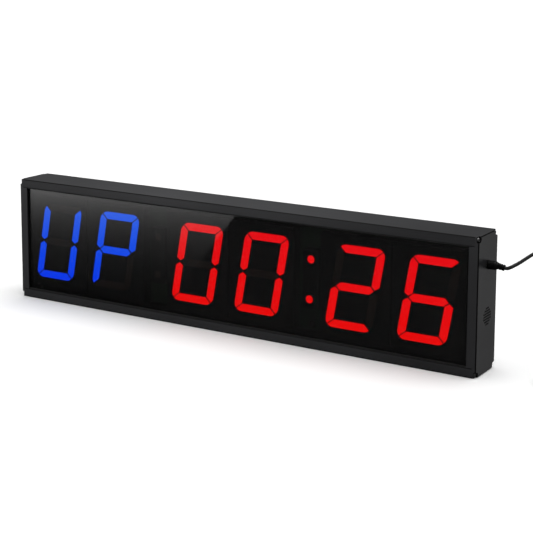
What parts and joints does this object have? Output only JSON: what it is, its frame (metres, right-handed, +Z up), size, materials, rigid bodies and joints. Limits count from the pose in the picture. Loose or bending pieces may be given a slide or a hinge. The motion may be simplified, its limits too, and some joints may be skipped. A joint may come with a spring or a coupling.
{
  "type": "gym round timer",
  "caption": "Slim wall or table interval timer: seven-segment digits behind a smoked panel in a black aluminium case with end caps, speaker and 12 V lead.",
  "frame": {"origin": "centre of the case's underside", "axes": "+Z up, the display faces -Y, the power socket and sound holes are on the +X end"},
  "size_m": [0.761, 0.1489, 0.158],
  "materials": {
    "case_metal": "black anodised, satin, drawn along its length",
    "cap_plastic": "black, fine moulded texture",
    "smoked_panel": "smoked acrylic, polished",
    "seal_foam": "black foam",
    "back_metal": "black paint, satin",
    "module_black": "black, matt face",
    "lens_blue": "blue light through a milky lens",
    "lens_red": "red light through a milky lens",
    "lens_unlit": "unlit milky lens",
    "led_package": "white package",
    "board_green": "solder mask over glass fibre",
    "chip_black": "moulded epoxy",
    "capacitor_blue": "shrink sleeve",
    "cell_steel": "satin",
    "ribbon_grey": "grey ribbon",
    "post_brass": "turned",
    "nylon_white": "natural nylon",
    "screw_zinc": "zinc plated",
    "screw_black": "black zinc, slight shine",
    "speaker_steel": "pressed steel",
    "speaker_paper": "paper cone",
    "wire_pvc": "thin insulation",
    "socket_plastic": "black",
    "hanger_steel": "zinc plated plate",
    "plug_pvc": "black soft plastic",
    "plug_nickel": "nickel plated",
    "lead_pvc": "black flexible jacket",
    "tie_plastic": "black band",
    "adapter_plastic": "black, fine moulded texture"
  },
  "bodies": {
    "case": {"top_rail": "case_metal", "bottom_rail": "case_metal", "left_end_cap": "cap_plastic", "right_end_cap": "cap_plastic", "left_cap_screws": "screw_black", "right_cap_screws": "screw_black", "front_panel": "smoked_panel", "panel_seals": "seal_foam", "back_panel": "back_metal", "digit_housing_1": "module_black", "digit_housing_2": "module_black", "digit_housing_3": "module_black", "digit_housing_4": "module_black", "digit_housing_5": "module_black", "digit_housing_6": "module_black", "digit_lit_1": "lens_blue", "digit_lit_2": "lens_blue", "digit_lit_3": "lens_red", "digit_lit_4": "lens_red", "digit_lit_5": "lens_red", "digit_lit_6": "lens_red", "digit_unlit_1": "lens_unlit", "digit_unlit_2": "lens_unlit", "digit_unlit_3": "lens_unlit", "digit_unlit_4": "lens_unlit", "digit_unlit_5": "lens_unlit", "digit_unlit_6": "lens_unlit", "colon_housings": "module_black", "colon_lit_dots": "lens_red", "colon_unlit_dots": "lens_unlit", "segment_leds": "led_package", "display_board": "board_green", "board_posts": "post_brass", "board_screws": "screw_zinc", "control_board": "board_green", "control_posts": "nylon_white", "microcontroller": "chip_black", "driver_chips": "chip_black", "filter_capacitors": "capacitor_blue", "clock_cell": "cell_steel", "cell_holder": "chip_black", "infrared_receiver": "chip_black", "board_link": "ribbon_grey", "speaker_frame": "speaker_steel", "speaker_cone": "speaker_paper", "speaker_magnet": "speaker_steel", "speaker_wires": "wire_pvc", "power_socket": "socket_plastic", "socket_nut": "screw_zinc", "power_wires": "wire_pvc"},
    "lead": {"plug_body": "plug_pvc", "plug_barrel": "plug_nickel", "plug_boot": "plug_pvc", "power_lead": "lead_pvc", "lead_coil": "lead_pvc", "coil_tie": "tie_plastic", "adapter_body": "adapter_plastic", "adapter_blades": "plug_nickel"},
    "left_hanger": {"hanger_left": "hanger_steel"},
    "right_hanger": {"hanger_right": "hanger_steel"}
  },
  "joints": [
    {"name": "plug_pull", "type": "slide", "parent": "case", "child": "lead", "axis": [1, 0, 0], "range_m": [0, 0.012]},
    {"name": "left_hanger_slide", "type": "slide", "parent": "case", "child": "left_hanger", "axis": [1, 0, 0], "range_m": [-0.095, 0.15]},
    {"name": "right_hanger_slide", "type": "slide", "parent": "case", "child": "right_hanger", "axis": [1, 0, 0], "range_m": [-0.15, 0.095]}
  ]
}
